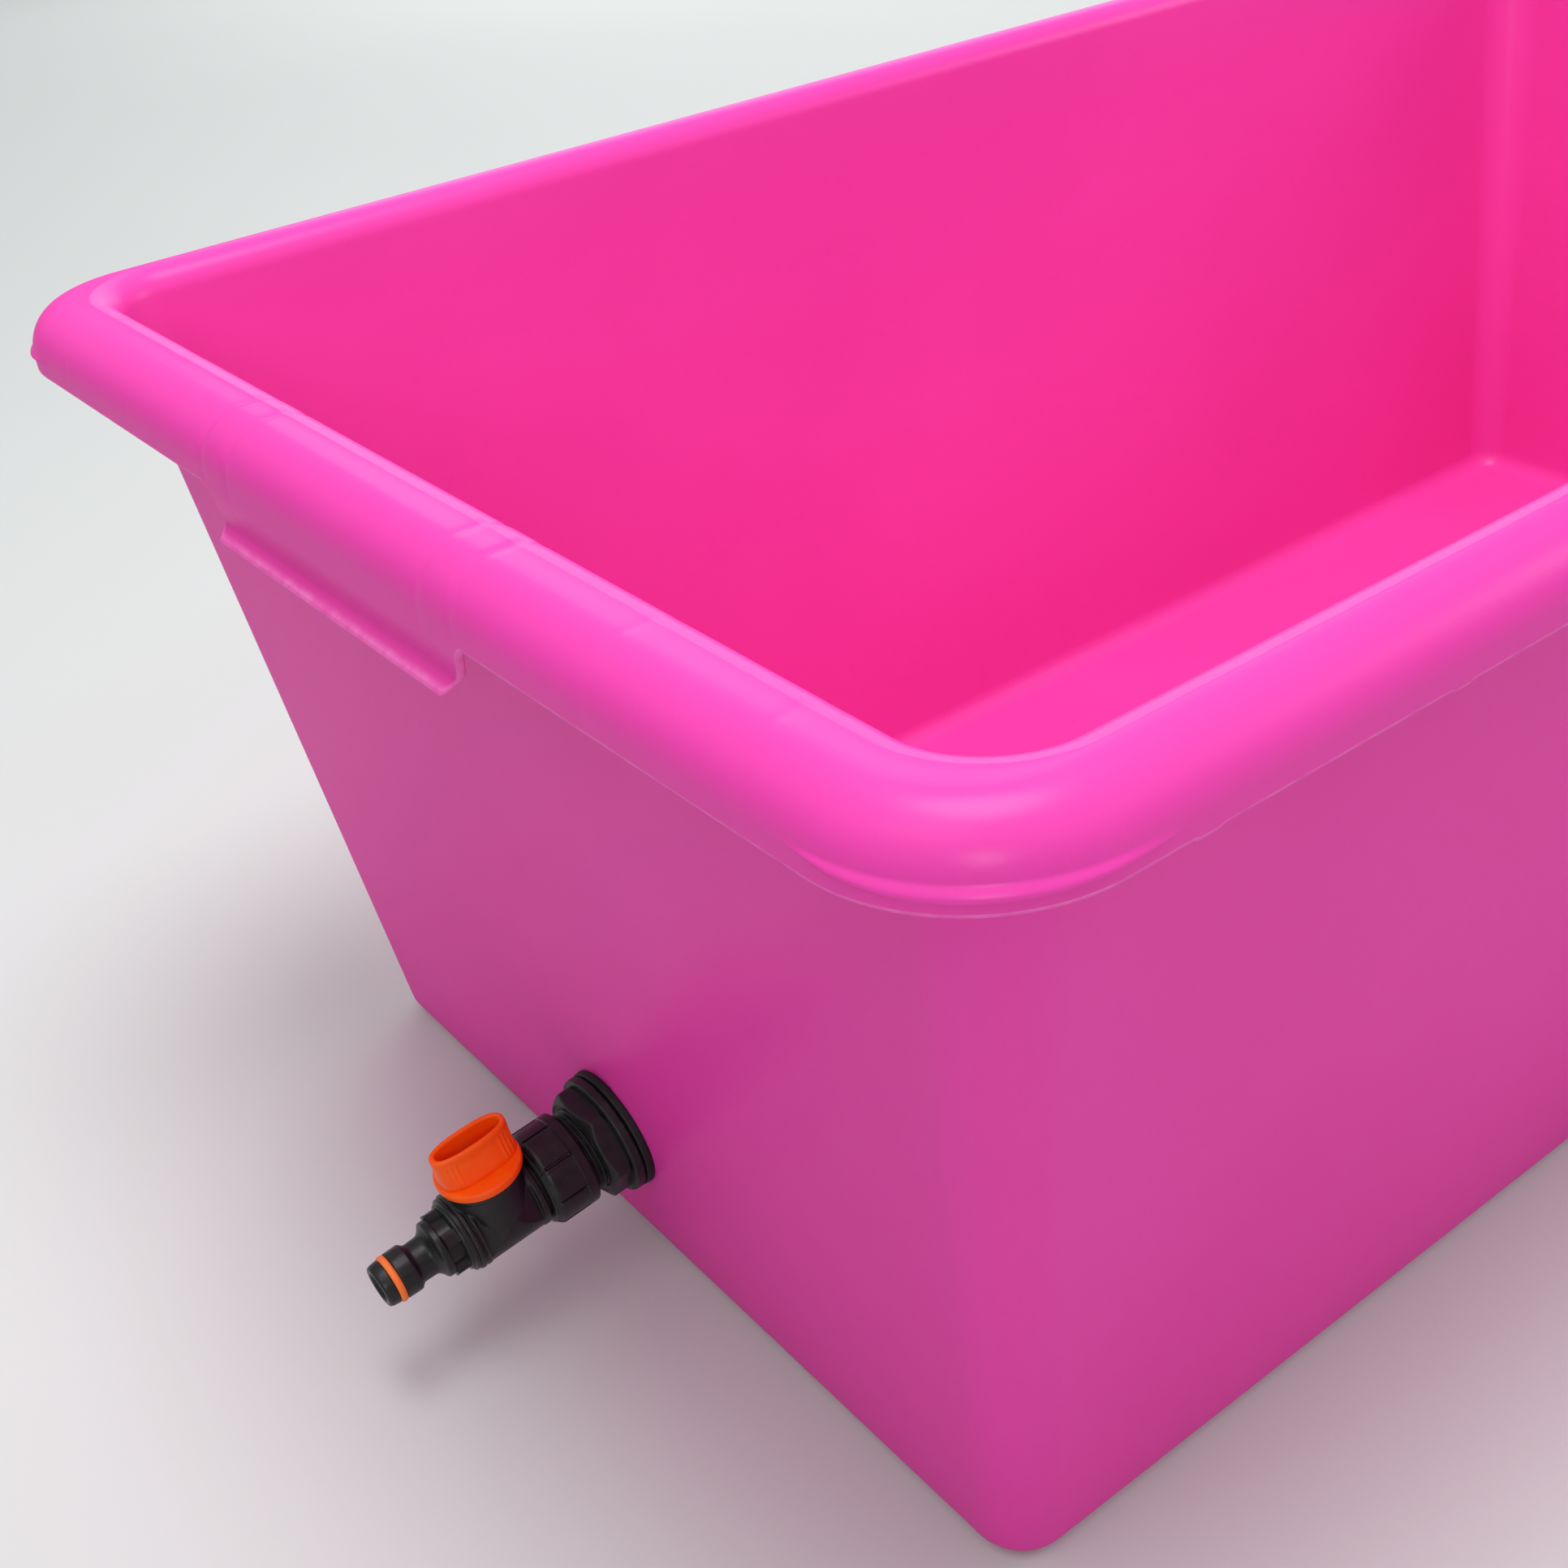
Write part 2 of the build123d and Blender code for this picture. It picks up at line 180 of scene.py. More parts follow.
def refined(limit, step, fine):
    """Places from -limit to limit, closer together round the given (place, reach, step) spots."""
    places = [-limit]
    while places[-1] < limit:
        here = places[-1]
        size = step
        for place, reach, small in fine:
            if place - reach - step < here < place + reach:
                size = min(size, max(small, place - reach - here))
        places.append(here + size)
    places[-1] = limit
    return np.array(places)


def perimeter():
    """Round the rim, anticlockwise from above: straight shares along X and Y, and the normal's angle."""
    straight_y = RIM_HALF_WIDTH - RIM_CORNER_RADIUS
    straight_x = RIM_HALF_LENGTH - RIM_CORNER_RADIUS
    spots_y = [(0.5 * (GRIP_HALF_WIDTH + GRIP_ROOT), 13, 0.9)]
    spots_y += [(place, 4.5, 0.75) for place, depth, width in CREASES]
    spots_y += [(-place, reach, small) for place, reach, small in spots_y]
    short = refined(straight_y, 8, spots_y)[1:-1] / straight_y
    long = refined(straight_x, 12, [(-510, 12, 1.6), (-404, 12, 1.6)])[1:-1] / straight_x
    segments = 36
    u, v, angle = [], [], []

    def corner(sign_x, sign_y, first):
        for step in range(segments + 1):
            u.append(sign_x)
            v.append(sign_y)
            angle.append(radians(first + 90 * step / segments))

    for share in short[::-1]:
        u.append(-1)
        v.append(share)
        angle.append(pi)
    corner(-1, -1, 180)
    for share in long:
        u.append(share)
        v.append(-1)
        angle.append(1.5 * pi)
    corner(1, -1, 270)
    for share in short:
        u.append(1)
        v.append(share)
        angle.append(0)
    corner(1, 1, 0)
    for share in long[::-1]:
        u.append(share)
        v.append(1)
        angle.append(0.5 * pi)
    corner(-1, 1, 90)
    return np.array(u, float), np.array(v, float), np.array(angle, float)


class Stations:
    """The rim's section as a list of loops, from the middle of the base round to the middle of the floor."""

    def __init__(self):
        self.rows = []

    def add(self, end_inset, side_inset, radius, z, normal, mask=0.0, crease=0.0):
        self.rows.append((end_inset, side_inset, radius, z, normal, mask, crease))


def wall_slope(overhang):
    return (BASE_INSET - overhang) / SKIRT_BOTTOM


def outer_inset(overhang, z):
    return overhang + wall_slope(overhang) * (SKIRT_BOTTOM - z)


def inner_inset(overhang, z):
    return outer_inset(overhang, z) + WALL / cos(atan(wall_slope(overhang)))


def fillet_centre(overhang, z, radius, side, inset):
    """Inset of the centre of an arc that touches a sloping wall; side is 1 outside the wall."""
    return inset(overhang, z) - side * radius / cos(atan(wall_slope(overhang)))


def wall_corner(z):
    """Radius of the outer wall's upright corners, which open out towards the rim."""
    return BASE_CORNER_RADIUS + (MOUTH_CORNER_RADIUS - BASE_CORNER_RADIUS) * z / TUB_HEIGHT


def under_and_outside(stations):
    """Base, outer wall and the channel under the rim."""
    for extra, radius in ((220, 7), (140, 8), (60, 9), (20, 10)):
        stations.add(BASE_INSET + extra, BASE_INSET + extra, radius, 0, (0, -1))
    slope = atan(wall_slope(END_OVERHANG))
    edge = BASE_EDGE_RADIUS
    for step in range(9):
        angle = -pi / 2 + (pi / 2 - slope) * step / 8
        insets = [fillet_centre(o, edge, edge, -1, outer_inset) - edge * cos(angle) for o in OVERHANGS]
        z = edge + edge * sin(angle)
        stations.add(*insets, wall_corner(z) - edge + edge * cos(angle), z, (cos(angle), sin(angle)))
    under = TUB_HEIGHT - RIM_THICKNESS
    top = under - UNDER_RIM_RADIUS
    for step in range(1, 24):
        z = edge + (top - edge) * step / 24
        insets = [outer_inset(o, z) for o in OVERHANGS]
        stations.add(*insets, wall_corner(z), z, (cos(slope), -sin(slope)))
    for step in range(9):
        angle = pi - slope + (slope - pi / 2) * step / 8
        centres = [fillet_centre(o, top, UNDER_RIM_RADIUS, 1, outer_inset) for o in OVERHANGS]
        insets = [c - UNDER_RIM_RADIUS * cos(angle) for c in centres]
        radius = wall_corner(top) + UNDER_RIM_RADIUS * (1 + cos(angle))
        stations.add(*insets, radius, top + UNDER_RIM_RADIUS * sin(angle), (-cos(angle), -sin(angle)))
    inner = SHOULDER_RADIUS - RIM_THICKNESS
    for step in range(13):
        angle = pi / 2 * (1 - step / 12)
        inset = SHOULDER_RADIUS - inner * cos(angle)
        z = under - inner + inner * sin(angle)
        stations.add(inset, inset, RIM_CORNER_RADIUS - inset, z, (-cos(angle), -sin(angle)))


def skirt(stations, lip):
    """Inside of the skirt, its rounded lip and its outer face: lip is the lip's height round the rim."""
    inner_top = TUB_HEIGHT - RIM_THICKNESS - (SHOULDER_RADIUS - RIM_THICKNESS)
    radius = LIP_THICKNESS / 2
    for step in range(1, 14):
        share = step / 13
        inset = RIM_THICKNESS + (LIP_THICKNESS - RIM_THICKNESS) * share
        z = inner_top + (lip + radius - inner_top) * share
        stations.add(inset, inset, RIM_CORNER_RADIUS - inset, z, (-1, 0))
    for step in range(1, 8):
        angle = pi + pi * step / 8
        inset = radius - radius * cos(angle)
        wear = -0.45 * sin(angle)
        z = lip + radius + radius * sin(angle)
        stations.add(inset, inset, RIM_CORNER_RADIUS - inset, z, (cos(angle), sin(angle)), mask=wear)
    rows = 52
    for step in range(rows):
        share = step / rows
        z = lip + radius + (SHOULDER_Z - lip - radius) * share
        wear = max(0, 0.4 - 6 * share)
        stations.add(0, 0, RIM_CORNER_RADIUS, z, (1, 0), mask=wear, crease=0.35 * share)


def shoulder_and_top(stations):
    angles = [radians(0.85 * k) for k in range(20)]
    angles += [radians(17 + 73 * k / 20) for k in range(21)]
    for angle in angles:
        inset = SHOULDER_RADIUS - SHOULDER_RADIUS * cos(angle)
        z = SHOULDER_Z + SHOULDER_RADIUS * sin(angle)
        weight = 0.35 + 0.65 * min(1, angle / radians(40))
        stations.add(inset, inset, RIM_CORNER_RADIUS - inset, z, (cos(angle), sin(angle)), crease=weight)
    slope = atan(wall_slope(END_OVERHANG))
    roll_z = TUB_HEIGHT - MOUTH_RADIUS
    centres = [fillet_centre(o, roll_z, MOUTH_RADIUS, 1, inner_inset) for o in OVERHANGS]
    inner_radius = wall_corner(roll_z) - WALL
    roll_radius = inner_radius + MOUTH_RADIUS * cos(slope)
    start = (SHOULDER_RADIUS, SHOULDER_RADIUS, RIM_CORNER_RADIUS - SHOULDER_RADIUS)
    for share in (0.3, 0.6):
        row = [a + (b - a) * share for a, b in zip(start, (*centres, roll_radius))]
        stations.add(*row, TUB_HEIGHT, (0, 1), crease=1)
    for shift, lift, wear in PARTING_LINE:
        insets = [c + shift for c in centres]
        stations.add(*insets, roll_radius - shift, TUB_HEIGHT + lift, (0, 1), wear, 1)
    for step in range(1, 15):
        angle = pi / 2 + (pi / 2 - slope) * step / 14
        if step == 1:
            angle = radians(96)
        insets = [c - MOUTH_RADIUS * cos(angle) for c in centres]
        radius = roll_radius + MOUTH_RADIUS * cos(angle)
        z = roll_z + MOUTH_RADIUS * sin(angle)
        stations.add(*insets, radius, z, (cos(angle), sin(angle)), crease=1 - step / 14)


def inside(stations):
    slope = atan(wall_slope(END_OVERHANG))
    top = TUB_HEIGHT - MOUTH_RADIUS
    low = FLOOR + FLOOR_RADIUS
    for step in range(1, 24):
        z = top + (low - top) * step / 24
        insets = [inner_inset(o, z) for o in OVERHANGS]
        stations.add(*insets, wall_corner(z) - WALL, z, (-cos(slope), sin(slope)))
    for step in range(11):
        angle = -slope + (slope - pi / 2) * step / 10
        centres = [fillet_centre(o, low, FLOOR_RADIUS, -1, inner_inset) for o in OVERHANGS]
        insets = [c - FLOOR_RADIUS * cos(angle) for c in centres]
        radius = wall_corner(low) - WALL - FLOOR_RADIUS + FLOOR_RADIUS * cos(angle)
        stations.add(*insets, radius, low + FLOOR_RADIUS * sin(angle), (-cos(angle), -sin(angle)))
    for extra, radius in ((20, 5), (60, 5), (120, 4), (200, 4)):
        insets = [inner_inset(o, FLOOR) + FLOOR_RADIUS + extra for o in OVERHANGS]
        stations.add(*insets, radius, FLOOR, (0, 1))


def lip_heights(x, y):
    """Height of the skirt's lip: the grip flaps hang lower on both short ends, and flash marks nick it."""
    drop = np.clip((GRIP_ROOT - np.abs(y)) / (GRIP_ROOT - GRIP_HALF_WIDTH), 0, 1) ** 1.2
    drop = 0.5 - 0.5 * np.cos(pi * drop)
    on_end = np.abs(x) > RIM_HALF_LENGTH - 1
    lip = SKIRT_BOTTOM - GRIP_DROP * np.where(on_end, drop, 0)
    flash = smoothstep((x + 516) / 2) * smoothstep((-503 - x) / 4)
    flash += smoothstep((x + 409) / 3) * smoothstep((-398 - x) / 2)
    return lip - 0.8 * np.where(y < -RIM_HALF_WIDTH + 1, flash, 0)


def flare(z):
    """How far the grip flap stands out at a height: it draws in a little, then turns out at its edge."""
    depth = SKIRT_BOTTOM - z
    turn_out = np.clip((depth - GRIP_TURN) / (GRIP_DROP - GRIP_TURN), 0, 1) ** 1.1
    return (GRIP_DRAW_IN + GRIP_FLARE) * turn_out - GRIP_DRAW_IN * smoothstep(depth / GRIP_TURN)


def crease_depth(x, y):
    depth = np.zeros_like(y)
    for place, amount, width in CREASES:
        gap = np.abs(y) - place
        depth += amount * np.exp(-((gap / width) ** 2))
    band = smoothstep((np.abs(y) - 80) / 4) * smoothstep((101 - np.abs(y)) / 4)
    return np.where(np.abs(x) > RIM_HALF_LENGTH - 60, depth - 0.26 * band, 0)


def corner_bead(along, z):
    """The raised crescent on the skirt at each corner, with a sharp step under it."""
    half_length = np.where(along < 0, 53, 66)
    share = np.clip(np.abs(along) / half_length, 0, 1)
    foot = BEAD_FOOT + np.where(along < 0, 3.4, 0.8) * share**1.8
    width = BEAD_WIDTH * (1 - share**2) ** 0.6 + 0.05
    height = BEAD_HEIGHT * (1 - share**2.2) ** 0.75
    place = (z - foot) / width
    return height * smoothstep(place / 0.14) * (1 - smoothstep((place - 0.25) / 0.75))


def tub_mesh():
    u, v, angle = perimeter()
    rim_x = (RIM_HALF_LENGTH - RIM_CORNER_RADIUS) * u + RIM_CORNER_RADIUS * np.cos(angle)
    rim_y = (RIM_HALF_WIDTH - RIM_CORNER_RADIUS) * v + RIM_CORNER_RADIUS * np.sin(angle)
    lip = lip_heights(rim_x, rim_y)
    to_long = np.arctan2(np.abs(np.sin(angle)), np.abs(np.cos(angle))) - pi / 4
    past_side = (1 - np.abs(u)) * (RIM_HALF_LENGTH - RIM_CORNER_RADIUS)
    past_end = (1 - np.abs(v)) * (RIM_HALF_WIDTH - RIM_CORNER_RADIUS)
    along = to_long * RIM_CORNER_RADIUS + past_side - past_end
    stations = Stations()
    under_and_outside(stations)
    skirt(stations, lip)
    shoulder_and_top(stations)
    inside(stations)
    points, wear = [], []
    for end_inset, side_inset, radius, z, normal, mask, crease in stations.rows:
        straight_x = RIM_HALF_LENGTH - end_inset - radius
        straight_y = RIM_HALF_WIDTH - side_inset - radius
        height = z + np.zeros_like(u)
        above = height > SKIRT_BOTTOM - GRIP_DROP - 1
        rim = above & (end_inset < SHOULDER_RADIUS + 8)
        x = straight_x * u + radius * np.cos(angle)
        y = straight_y * v + radius * np.sin(angle)
        shift = -crease * crease_depth(x, y)
        outer_face = normal[0] > 0.3 and end_inset < SHOULDER_RADIUS
        if outer_face:
            shift = shift + corner_bead(along, height)
        flared = np.where(rim & (height < SKIRT_BOTTOM) & (end_inset < 6), flare(height), 0)
        x = x + (shift * normal[0] + flared) * np.cos(angle)
        y = y + shift * normal[0] * np.sin(angle)
        points.append(np.stack([x, y, height + shift * normal[1]], axis=1))
        on_flap = (np.abs(x) > RIM_HALF_LENGTH - 8) & (np.abs(y) < GRIP_ROOT)
        wear.append(mask * np.where(on_flap, 1.8, 1.45))
    count = len(u)
    rows = len(points)
    faces = grid_faces(rows, count, False)
    faces.append(tuple(range(count))[::-1])
    faces.append(tuple(range((rows - 1) * count, rows * count)))
    tub = make_mesh("tub", np.concatenate(points) * MM, faces, sharp=60)
    soft_mask(tub, "wear", np.concatenate(wear))
    return tub


# ------------------------------------------------------------------ tap helpers

def joint(name):
    return next(j for j in frame["joints"] if j["name"] == name)


OUTWARD = Vector(joint("valve_swivel")["axis"]).normalized()
UPWARD = -Vector(joint("knob_turn")["axis"]).normalized()
SIDEWAYS = UPWARD.cross(OUTWARD).normalized()
BALL_CENTRE = Vector(joint("knob_turn")["pos_m"])
DRAIN = BALL_CENTRE - OUTWARD * (BALL * MM)
TAP_TURN = np.array(Matrix((OUTWARD, SIDEWAYS, UPWARD)).transposed())


def rounded(corners):
    """Points along a closed section of (distance, radius, rounding) corners."""
    points = []
    total = len(corners)
    for index, (along, out, rounding) in enumerate(corners):
        here = Vector((along, out))
        before = Vector(corners[index - 1][:2])
        after = Vector(corners[(index + 1) % total][:2])
        if rounding <= 0:
            points.append(tuple(here))
            continue
        reach_before = min(rounding, 0.48 * (before - here).length)
        reach_after = min(rounding, 0.48 * (after - here).length)
        start = here + (before - here).normalized() * reach_before
        end = here + (after - here).normalized() * reach_after
        for step in range(6):
            t = step / 5
            point = start * (1 - t) ** 2 + here * 2 * t * (1 - t) + end * t * t
            points.append(tuple(point))
    return points


def divided(points, longest):
    """Adds points so that no step of a closed section is longer than the given length."""
    result = []
    for index, start in enumerate(points):
        end = points[(index + 1) % len(points)]
        pieces = max(1, ceil(hypot(end[0] - start[0], end[1] - start[1]) / longest))
        for step in range(pieces):
            t = step / pieces
            result.append((start[0] + (end[0] - start[0]) * t, start[1] + (end[1] - start[1]) * t))
    return result


def swept(section, count, shape=None, upright=False):
    """Points of a section turned about the drain, or about the valve's stem if upright.

    shape changes (distance, radius, angle) arrays into new ones, for flats, ribs and threads."""
    turn = np.arange(count) * 2 * pi / count
    along = section[:, 0][:, None] + 0 * turn[None, :]
    out = section[:, 1][:, None] + 0 * turn[None, :]
    angle = turn[None, :] + 0 * along
    if shape:
        along, out = shape(along, out, angle)
    flat = out * np.cos(angle)
    across = out * np.sin(angle)
    if upright:
        local = np.stack([BALL + flat, across, along], axis=2)
    else:
        local = np.stack([along, flat, across], axis=2)
    return (local.reshape(-1, 3) * MM) @ TAP_TURN.T + np.array(DRAIN)


def turned(name, corners, count=128, longest=30, shape=None, upright=False, sharp=40):
    """A solid of a closed section turned about the drain, or about the valve's stem if upright."""
    section = np.array(divided(rounded(corners), longest))
    points = swept(section, count, shape, upright)
    return make_mesh(name, points, grid_faces(len(section), count, True), sharp)


def gap_to(angle, places):
    """Angle in radians from each place to the nearest of the given ones."""
    gaps = [np.abs((angle - place + pi) % (2 * pi) - pi) for place in places]
    return np.min(gaps, axis=0)


def soft_limit(value, limit, blend):
    """The smaller of two lengths, with the corner between them rounded."""
    gap = np.clip(0.5 + 0.5 * (limit - value) / blend, 0, 1)
    return limit * (1 - gap) + value * gap - blend * gap * (1 - gap)


# ------------------------------------------------------------------ tap pieces

def bulkhead_fitting():
    """Flange inside the tub and the threaded tube that passes through its wall."""
    crest = 20.95
    depth = 1.15

    def shape(along, out, angle):
        phase = along / THREAD_PITCH - angle / (2 * pi)
        wave = 0.5 - 0.5 * np.cos(2 * pi * phase)
        run = smoothstep((along - 10) / 2) * smoothstep((41.2 - along) / 1.4)
        on_thread = (out > crest - 0.3) & (out < crest + 0.3) & (along > 5)
        notched = (along < -10) & (out > 17)
        grip = notched * 0.5 * smoothstep((gap_to(angle, [k * pi / 3 for k in range(6)]) - 0.30) / 0.05)
        return along, out - np.where(on_thread, depth * wave**1.3 * run, 0) - grip * (out > 29)

    corners = [
        (-12.5, 16.5, 0.8), (-12.5, 29.6, 1.6), (-7.5, 30.5, 0.6), (-7.5, crest, 0), (9, crest, 0),
        (41.5, crest, 1.0), (41.5, 15, 0.6), (-11, 15, 0.8),
    ]
    return turned("bulkhead_fitting", corners, count=180, longest=0.22, shape=shape)


def gasket(name, start, end, inner, outer):
    corners = [(start, inner, 0.3), (end, inner, 0.3), (end, outer - 0.2, 0.9), (start, outer, 0.9)]
    return turned(name, corners, count=160, longest=1.2)


def hex_nut():
    """Flanged hexagon nut that clamps the fitting on the tub's wall."""
    flat = 25.0
    corner = flat / cos(radians(30))

    def shape(along, out, angle):
        sector = (angle + pi / 6 - pi / 2) % (pi / 3) - pi / 6
        hexagon = flat / np.cos(sector)
        hexagon = soft_limit(hexagon, corner - 0.7, 0.9)
        crown = corner - 0.2 - 1.3 * np.clip(along - 17, 0, 4) ** 1.15
        wall_side = corner + 0.8 - 1.4 * np.clip(11.8 - along, 0, 4)
        hexagon = soft_limit(soft_limit(hexagon, crown, 0.8), wall_side, 0.6)
        is_hex = (along > 9.95) & (out > 21.8)
        return along, np.where(is_hex, np.minimum(out, hexagon), out)

    corners = [
        (4.1, 21.0, 0), (4.1, 28.4, 0.3), (5.0, 28.6, 0.3), (5.1, 30.3, 0.7), (9.6, 30.1, 1.0),
        (9.85, 27.0, 0.5), (10.1, 28.9, 0.3), (NUT_END, 28.9, 0), (NUT_END, 23.4, 0.4),
        (NUT_END - 0.7, 22.9, 0.3), (NUT_END - 0.7, 21.0, 0.5),
    ]
    return turned("bulkhead_hex_nut", corners, count=360, longest=0.45, shape=shape, sharp=50)


def union_nut():
    """Union nut: a plain collar on the wall side, then eight panels, each with a rib beside a slot."""
    outer = 23.7

    def shape(along, out, angle):
        place = ((angle + pi / 8) % (pi / 4) - pi / 8) * outer
        rib = smoothstep((place + 0.85) / 0.3) * smoothstep((0.85 - place) / 0.3)
        slot = smoothstep((place - 0.75) / 0.3) * smoothstep((2.35 - place) / 0.3)
        panel_run = smoothstep((along - 31.0) / 0.4) * smoothstep((UNION_END - 0.6 - along) / 0.6)
        slot_run = smoothstep((along - 31.2) / 0.4) * smoothstep((45.4 - along) / 0.5)
        sunk = 0.5 * (1 - rib) * panel_run + 0.95 * slot * slot_run
        return along, out - np.where(out > 20.6, sunk, 0)

    corners = [
        (UNION_START, 21.03, 0.4), (UNION_START, outer, 1.0), (UNION_END - 3.4, outer, 1.4),
        (UNION_END, outer - 2.9, 1.0), (UNION_END, 17.3, 0.5), (46.6, 17.3, 0.3), (46.6, 21.03, 0.3),
    ]
    return turned("union_nut_ribbed", corners, count=640, longest=0.4, shape=shape, sharp=50)


def valve_casing():
    """Barrel with the boss for the stem, blended as one moulding, then bored out."""
    inlet_ring = BODY_START + 3.4
    outlet_ring = BODY_END - 5.4

    def shape(along, out, angle):
        facet = np.full_like(out, 99.0)
        for middle in (radians(14), radians(166)):
            face = np.cos(angle - middle)
            cut_out = 19 - 3.4 * np.clip((along - 71) / (outlet_ring - 71), 0, 1)
            cut_in = 19 - 2.9 * np.clip((66 - along) / (66 - inlet_ring), 0, 1)
            distance = np.minimum(cut_out, cut_in)
            facet = np.where(face > 0.3, np.minimum(facet, distance / np.maximum(face, 0.3)), facet)
        between = (along > inlet_ring + 0.05) & (along < outlet_ring - 0.05) & (out > 5)
        return along, np.where(between, np.minimum(out, facet), out)

    barrel = turned(
        "valve_casing",
        [
            (BODY_START, 0, 0), (BODY_START, 18.6, 0.8), (BODY_START + 0.6, 19.5, 0.5),
            (inlet_ring, 19.5, 0.5), (inlet_ring + 0.3, 19, 0.2), (outlet_ring, 19, 0.2),
            (outlet_ring, 19.5, 0.4), (BODY_END - 3.6, 19.5, 0.3), (BODY_END - 3.5, 18.4, 0.2),
            (BODY_END - 2.5, 18.4, 0.2), (BODY_END - 2.4, 19.5, 0.3), (BODY_END - 0.5, 19.5, 0.5),
            (BODY_END, 18.9, 0.3), (BODY_END, 0, 0),
        ],
        count=240,
        longest=0.6,
        shape=shape,
    )
    boss = turned(
        "boss",
        [(2, 0, 0), (2, 18.6, 0.5), (BOSS_TOP - 3.2, 18.2, 0.4), (BOSS_TOP - 3.1, 18.8, 0.3),
         (BOSS_TOP, 18.8, 0.5), (BOSS_TOP, 0, 0)],
        count=160,
        longest=2,
        upright=True,
    )
    combine(barrel, boss, "UNION")
    remesh = barrel.modifiers.new("blend", "REMESH")
    remesh.mode = "VOXEL"
    remesh.voxel_size = CASING_VOXEL
    smooth = barrel.modifiers.new("smooth", "SMOOTH")
    smooth.factor = 0.5
    smooth.iterations = 3
    bake_modifiers(barrel)
    bore = turned("bore", [(45, 0, 0), (45, 13.95, 0), (95, 13.95, 0), (95, 0, 0)], count=96)
    combine(barrel, bore, "DIFFERENCE")
    for name, radius, top in (("stem_hole", 6.06, 30), ("stem_seat", 8.3, 14.3)):
        section = [(0, 0, 0), (0, radius, 0), (top, radius, 0), (top, 0, 0)]
        combine(barrel, turned(name, section, count=64, upright=True), "DIFFERENCE")
    tidy_mesh(barrel, 50)
    return barrel


def grip_radius(angle, half_length, half_width, power=2.6):
    """Radius of an oval grip, seen from above, at each angle."""
    long_part = np.abs(np.cos(angle) / half_length) ** power
    wide_part = np.abs(np.sin(angle) / half_width) ** power
    return (long_part + wide_part) ** (-1 / power)


def valve_knob():
    """Round base with a hollow oval grip; the ribs are for the fingertips."""
    bottom = BOSS_TOP + 0.5
    base_top = bottom + 4
    base = 20.6
    floor = bottom + 6.5

    def shape(along, out, angle):
        rise = np.clip((along - base_top) / (KNOB_TOP - base_top), 0, 1)
        half_width = 11.4 - 3.6 * smoothstep(rise / 0.75)
        outer_oval = grip_radius(angle, 19.2, half_width)
        inner_oval = grip_radius(angle, 19.2 - 2.7, 7.8 - 2.7)
        side_x = np.abs(outer_oval * np.cos(angle))
        rib = np.zeros_like(out)
        for place in (11.2, 13.4, 15.6, 17.6):
            rib += np.exp(-(((side_x - place) / 0.62) ** 2))
        rib_run = smoothstep((along - base_top - 0.4) / 0.8) * smoothstep((KNOB_TOP - 3.2 - along) / 0.8)
        outer_wall = outer_oval + 0.55 * rib * rib_run
        new = out.copy()
        grip = out == GRIP_MARK
        new[grip] = outer_wall[grip]
        hollow = out == HOLLOW_MARK
        new[hollow] = inner_oval[hollow]
        tops = (out > GRIP_MARK) & (out < HOLLOW_MARK)
        share = out - GRIP_MARK
        new[tops] = (outer_oval + (inner_oval - outer_oval) * share)[tops]
        return along, new

    edge_start = KNOB_TOP - KNOB_EDGE
    section = [(bottom, 0), (bottom, base - 0.8), (bottom + 0.25, base - 0.25), (bottom + 0.8, base)]
    section += [(base_top - 1.2, base), (base_top - 0.5, base - 0.2), (base_top - 0.1, base - 0.7)]
    section += [(base_top, base - 1.3), (base_top + 0.01, GRIP_MARK)]
    for step in range(1, 24):
        section.append((base_top + (edge_start - base_top) * step / 23, GRIP_MARK))
    for step in range(1, 8):
        angle = pi * step / 8
        section.append((edge_start + KNOB_EDGE * sin(angle), GRIP_MARK + 0.5 - 0.5 * cos(angle)))
    for step in range(10):
        section.append((edge_start + (floor - edge_start) * step / 9, HOLLOW_MARK))
    section += [(floor, 4.6), (floor, 4.3), (floor - 2.4, 4.2), (floor - 2.4, 0)]
    points = swept(np.array(section), KNOB_SIDES, shape, upright=True)
    return make_mesh("knob_grip", points, grid_faces(len(section), KNOB_SIDES, False), 55)


def hose_nipple():
    """Push-fit hose nipple: flange, four lugs, clip ring, neck, nose ring and rounded tip."""
    lugs = [radians(45 + 90 * k) for k in range(4)]

    def shape(along, out, angle):
        core = (out > 11.0) & (out < 11.9) & (along > 91) & (along < 99.5)
        gap = gap_to(angle, lugs) * 15.6
        lug = 1 - smoothstep((gap - 3.6) / 0.35)
        run = smoothstep((along - 91.6) / 0.3)
        return along, out + np.where(core, 4.0 * lug * run, 0)

    corners = [
        (81.5, 8, 0), (81.5, 13.9, 0.3), (BODY_END, 13.9, 0), (BODY_END, 18.6, 0.3), (90.6, 18.6, 0.5),
        (90.8, 17.2, 0.3), (92.2, 17.0, 0.6), (92.2, 11.6, 0.4), (98.9, 11.6, 0.3), (98.9, 14.2, 0.5),
        (102.2, 14.2, 0.9), (103.2, 12.4, 0.6), (105.4, 9.8, 1.4), (112.8, 9.6, 0.9), (114.8, 11.6, 0.7),
        (122.2, 11.5, 0.5), (122.2, 9.0, 0.3), (125.8, 9.0, 0.3), (125.8, 10.9, 0.6), (131.2, 10.3, 3.0),
        (131.2, 7.6, 0.9), (129.6, 6.5, 0.8), (105, 6.5, 0), (92, 8, 0),
    ]
    return turned("hose_nipple_body", corners, count=240, longest=0.7, shape=shape, sharp=50)


